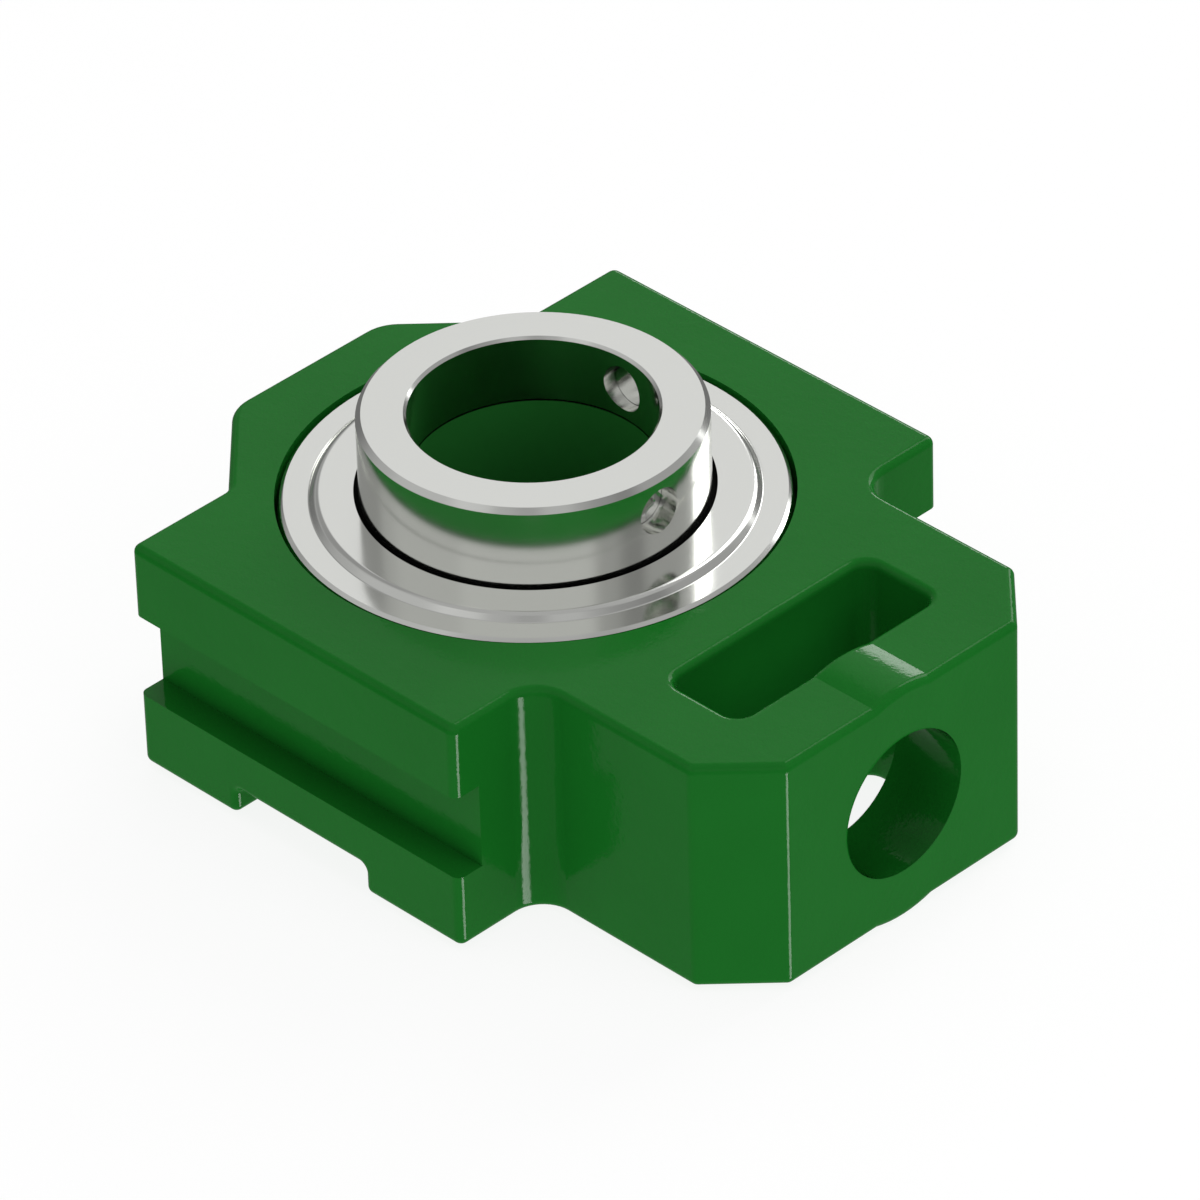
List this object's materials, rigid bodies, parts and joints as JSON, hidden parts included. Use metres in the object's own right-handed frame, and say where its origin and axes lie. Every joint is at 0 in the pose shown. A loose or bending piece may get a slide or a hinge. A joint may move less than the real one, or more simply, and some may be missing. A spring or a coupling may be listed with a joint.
{
  "type": "take-up bearing unit",
  "caption": "Take-up bearing unit: a self-aligning insert bearing with a set-screw collar in a cast housing with side guide grooves, a nut slot and a hole for the adjusting screw.",
  "frame": {"origin": "on the shaft axis, at the middle of the housing's thickness", "axes": "+Z along the shaft, towards the collar with the set screws; +X along the take-up screw, out of the end block; +Y to the second guide groove"},
  "size_m": [0.1163, 0.0944, 0.0515],
  "materials": {
    "housing_paint": "smooth gloss green paint on cast iron",
    "ring_steel": "ground and polished bearing steel",
    "collar_steel": "polished bearing steel",
    "plate_steel": "bright pressed sheet steel",
    "cage_steel": "pressed sheet steel",
    "ball_steel": "lapped bearing steel",
    "screw_steel": "bright steel",
    "seal_rubber": "black moulded rubber"
  },
  "bodies": {
    "housing": {"housing": "housing_paint"},
    "insert": {"outer_ring": "ring_steel", "seal_plate_upper": "plate_steel", "seal_plate_lower": "plate_steel", "seal_lip_upper": "seal_rubber", "seal_lip_lower": "seal_rubber"},
    "shaft_ring": {"inner_ring": "collar_steel", "set_screw_1": "screw_steel", "set_screw_2": "screw_steel"},
    "cage": {"cage_upper": "cage_steel", "cage_lower": "cage_steel", "cage_rivets": "cage_steel"},
    "ball_1": {"ball_1": "ball_steel"},
    "ball_2": {"ball_2": "ball_steel"},
    "ball_3": {"ball_3": "ball_steel"},
    "ball_4": {"ball_4": "ball_steel"},
    "ball_5": {"ball_5": "ball_steel"},
    "ball_6": {"ball_6": "ball_steel"},
    "ball_7": {"ball_7": "ball_steel"},
    "ball_8": {"ball_8": "ball_steel"},
    "ball_9": {"ball_9": "ball_steel"}
  },
  "joints": [
    {"name": "insert_align", "type": "hinge", "parent": "housing", "child": "insert", "pos_m": [0, 0, 0.01], "axis": [0, 1, 0], "range_deg": [-3, 3]},
    {"name": "shaft_spin", "type": "hinge", "parent": "insert", "child": "shaft_ring", "pos_m": [0, 0, 0.01], "axis": [0, 0, 1], "continuous": true},
    {"name": "cage_orbit", "type": "hinge", "parent": "insert", "child": "cage", "pos_m": [0, 0, 0.01], "axis": [0, 0, 1], "continuous": true},
    {"name": "ball_1_roll", "type": "hinge", "parent": "cage", "child": "ball_1", "pos_m": [0.02514, 0.00915, 0.01], "axis": [0, 0, 1], "continuous": true},
    {"name": "ball_2_roll", "type": "hinge", "parent": "cage", "child": "ball_2", "pos_m": [0.01337, 0.02317, 0.01], "axis": [0, 0, 1], "continuous": true},
    {"name": "ball_3_roll", "type": "hinge", "parent": "cage", "child": "ball_3", "pos_m": [-0.00464, 0.02634, 0.01], "axis": [0, 0, 1], "continuous": true},
    {"name": "ball_4_roll", "type": "hinge", "parent": "cage", "child": "ball_4", "pos_m": [-0.02049, 0.01719, 0.01], "axis": [0, 0, 1], "continuous": true},
    {"name": "ball_5_roll", "type": "hinge", "parent": "cage", "child": "ball_5", "pos_m": [-0.02675, 0, 0.01], "axis": [0, 0, 1], "continuous": true},
    {"name": "ball_6_roll", "type": "hinge", "parent": "cage", "child": "ball_6", "pos_m": [-0.02049, -0.01719, 0.01], "axis": [0, 0, 1], "continuous": true},
    {"name": "ball_7_roll", "type": "hinge", "parent": "cage", "child": "ball_7", "pos_m": [-0.00464, -0.02634, 0.01], "axis": [0, 0, 1], "continuous": true},
    {"name": "ball_8_roll", "type": "hinge", "parent": "cage", "child": "ball_8", "pos_m": [0.01337, -0.02317, 0.01], "axis": [0, 0, 1], "continuous": true},
    {"name": "ball_9_roll", "type": "hinge", "parent": "cage", "child": "ball_9", "pos_m": [0.02514, -0.00915, 0.01], "axis": [0, 0, 1], "continuous": true}
  ],
  "couplings": [
    {"joint": "cage_orbit", "follows": "shaft_spin", "ratio": 0.39615},
    {"joint": "ball_1_roll", "follows": "shaft_spin", "ratio": -2.3035},
    {"joint": "ball_2_roll", "follows": "shaft_spin", "ratio": -2.3035},
    {"joint": "ball_3_roll", "follows": "shaft_spin", "ratio": -2.3035},
    {"joint": "ball_4_roll", "follows": "shaft_spin", "ratio": -2.3035},
    {"joint": "ball_5_roll", "follows": "shaft_spin", "ratio": -2.3035},
    {"joint": "ball_6_roll", "follows": "shaft_spin", "ratio": -2.3035},
    {"joint": "ball_7_roll", "follows": "shaft_spin", "ratio": -2.3035},
    {"joint": "ball_8_roll", "follows": "shaft_spin", "ratio": -2.3035},
    {"joint": "ball_9_roll", "follows": "shaft_spin", "ratio": -2.3035}
  ]
}
